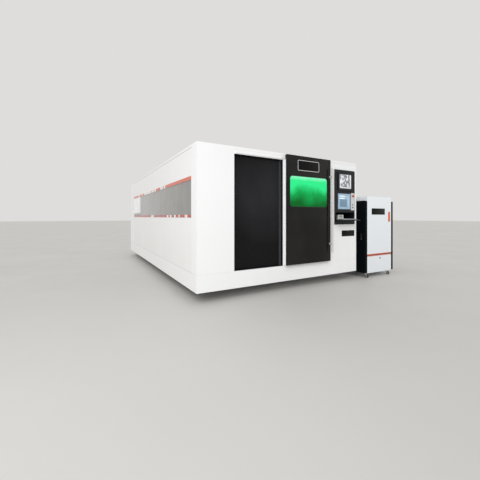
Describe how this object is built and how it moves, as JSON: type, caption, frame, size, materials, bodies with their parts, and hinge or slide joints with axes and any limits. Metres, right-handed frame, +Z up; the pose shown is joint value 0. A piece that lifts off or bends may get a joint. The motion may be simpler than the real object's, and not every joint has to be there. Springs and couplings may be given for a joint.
{
  "type": "fiber laser cutting machine",
  "caption": "Enclosed gantry fiber laser cutting machine with a sliding front door, operator console, exchange pallet and a separate control cabinet on castors.",
  "frame": {"origin": "bottom centre of the whole machine with its cabinet, on the floor", "axes": "+Z up, +Y from the operator's front towards the exchange end, +X to the right of the front"},
  "size_m": [4.3, 5.9666, 2.21],
  "materials": {
    "white": "satin powder coat",
    "black": "fine-textured powder coat",
    "dark_steel": "matte paint",
    "steel": "machined",
    "silver": "satin",
    "grey": "satin paint",
    "pale": "matte",
    "orange": "gloss film",
    "red": "gloss",
    "green_button": "gloss",
    "green_glass": "laser-safe tinted",
    "frosted_glass": "frosted",
    "clear_glass": "clear",
    "rubber": "matte"
  },
  "bodies": {
    "machine": {"skirt_front": "white", "skirt_left": "white", "skirt_rear": "white", "skirt_right": "white", "front_portal": "white", "left_wall": "white", "right_wall": "white", "rear_portal": "white", "roof_front": "white", "roof_rear": "white", "door_track": "white", "cabinet_body": "white", "cabinet_front_panel": "white", "recess_panel": "black", "console_housing": "black", "upper_monitor": "black", "cabinet_side_left": "black", "cabinet_side_right": "black", "base_ring": "dark_steel", "bed_frame": "dark_steel", "slat_pallet": "dark_steel", "rail_left": "steel", "rail_right": "steel", "rack_left": "steel", "rack_right": "steel", "slag_tray": "steel", "hmi_panel": "silver", "button_panel": "silver", "window_trim_top": "orange", "window_trim_bottom": "orange", "laser_source": "red", "side_window_frosted": "frosted_glass", "side_window_clear": "clear_glass"},
    "door": {"door_leaf": "black", "door_window": "green_glass", "door_handle": "silver"},
    "lift_gate": {"rear_gate": "black"},
    "tray": {"keyboard_tray": "black", "keyboard": "grey", "hand_pendant": "pale"},
    "estop": {"estop_button": "red"},
    "start": {"start_button": "green_button"},
    "stop": {"stop_button": "black"},
    "gantry": {"gantry_beam": "grey", "drive_left": "black", "drive_right": "black"},
    "left_pinion": {"pinion_left": "steel"},
    "right_pinion": {"pinion_right": "steel"},
    "carriage": {"cross_carriage": "grey"},
    "head_slide": {"z_slide": "steel", "laser_head": "black"},
    "access_door": {"cabinet_access_door": "white"},
    "fork_front_left": {"castor_fork_front_left": "steel"},
    "wheel_front_left": {"castor_wheel_front_left": "rubber"},
    "fork_front_right": {"castor_fork_front_right": "steel"},
    "wheel_front_right": {"castor_wheel_front_right": "rubber"},
    "fork_rear_left": {"castor_fork_rear_left": "steel"},
    "wheel_rear_left": {"castor_wheel_rear_left": "rubber"},
    "fork_rear_right": {"castor_fork_rear_right": "steel"},
    "wheel_rear_right": {"castor_wheel_rear_right": "rubber"}
  },
  "joints": [
    {"name": "door_slide", "type": "slide", "parent": "machine", "child": "door", "axis": [-1, 0, 0], "range_m": [0, 0.88]},
    {"name": "gate_lift", "type": "slide", "parent": "machine", "child": "lift_gate", "axis": [0, 0, 1], "range_m": [0, 0.36]},
    {"name": "tray_slide", "type": "slide", "parent": "machine", "child": "tray", "axis": [0, -1, 0], "range_m": [-0.1, 0.06]},
    {"name": "estop_press", "type": "slide", "parent": "machine", "child": "estop", "axis": [0, 1, 0], "range_m": [0, 0.004], "stiffness_N_per_m": 800},
    {"name": "start_press", "type": "slide", "parent": "machine", "child": "start", "axis": [0, 1, 0], "range_m": [0, 0.003], "stiffness_N_per_m": 600},
    {"name": "stop_press", "type": "slide", "parent": "machine", "child": "stop", "axis": [0, 1, 0], "range_m": [0, 0.003], "stiffness_N_per_m": 600},
    {"name": "gantry_travel", "type": "slide", "parent": "machine", "child": "gantry", "axis": [0, 1, 0], "range_m": [-0.15, 3.1]},
    {"name": "cross_travel", "type": "slide", "parent": "gantry", "child": "carriage", "axis": [1, 0, 0], "range_m": [-0.14, 1.38]},
    {"name": "head_travel", "type": "slide", "parent": "carriage", "child": "head_slide", "axis": [0, 0, 1], "range_m": [-0.045, 0.1]},
    {"name": "access_door_hinge", "type": "hinge", "parent": "machine", "child": "access_door", "pos_m": [1.32465, -2.8903, 0.095], "axis": [0, 0, -1], "range_deg": [0, 90]},
    {"name": "left_pinion_spin", "type": "hinge", "parent": "gantry", "child": "left_pinion", "pos_m": [-1.60345, -1.7733, 0.924], "axis": [0, 0, 1], "continuous": true},
    {"name": "right_pinion_spin", "type": "hinge", "parent": "gantry", "child": "right_pinion", "pos_m": [0.54215, -1.7733, 0.924], "axis": [0, 0, 1], "continuous": true},
    {"name": "swivel_front_left", "type": "hinge", "parent": "machine", "child": "fork_front_left", "pos_m": [1.37465, -2.816, 0.0847], "axis": [0, 0, 1], "continuous": true},
    {"name": "roll_front_left", "type": "hinge", "parent": "fork_front_left", "child": "wheel_front_left", "pos_m": [1.37465, -2.846, 0.0325], "axis": [1, 0, 0], "continuous": true},
    {"name": "swivel_front_right", "type": "hinge", "parent": "machine", "child": "fork_front_right", "pos_m": [2.04465, -2.816, 0.0847], "axis": [0, 0, 1], "continuous": true},
    {"name": "roll_front_right", "type": "hinge", "parent": "fork_front_right", "child": "wheel_front_right", "pos_m": [2.04465, -2.846, 0.0325], "axis": [1, 0, 0], "continuous": true},
    {"name": "swivel_rear_left", "type": "hinge", "parent": "machine", "child": "fork_rear_left", "pos_m": [1.37465, -2.0403, 0.0847], "axis": [0, 0, 1], "continuous": true},
    {"name": "roll_rear_left", "type": "hinge", "parent": "fork_rear_left", "child": "wheel_rear_left", "pos_m": [1.37465, -2.0703, 0.0325], "axis": [1, 0, 0], "continuous": true},
    {"name": "swivel_rear_right", "type": "hinge", "parent": "machine", "child": "fork_rear_right", "pos_m": [2.04465, -2.0403, 0.0847], "axis": [0, 0, 1], "continuous": true},
    {"name": "roll_rear_right", "type": "hinge", "parent": "fork_rear_right", "child": "wheel_rear_right", "pos_m": [2.04465, -2.0703, 0.0325], "axis": [1, 0, 0], "continuous": true}
  ],
  "couplings": [
    {"joint": "left_pinion_spin", "follows": "gantry_travel", "rad_per_m": -33.333},
    {"joint": "right_pinion_spin", "follows": "gantry_travel", "rad_per_m": 33.333}
  ]
}
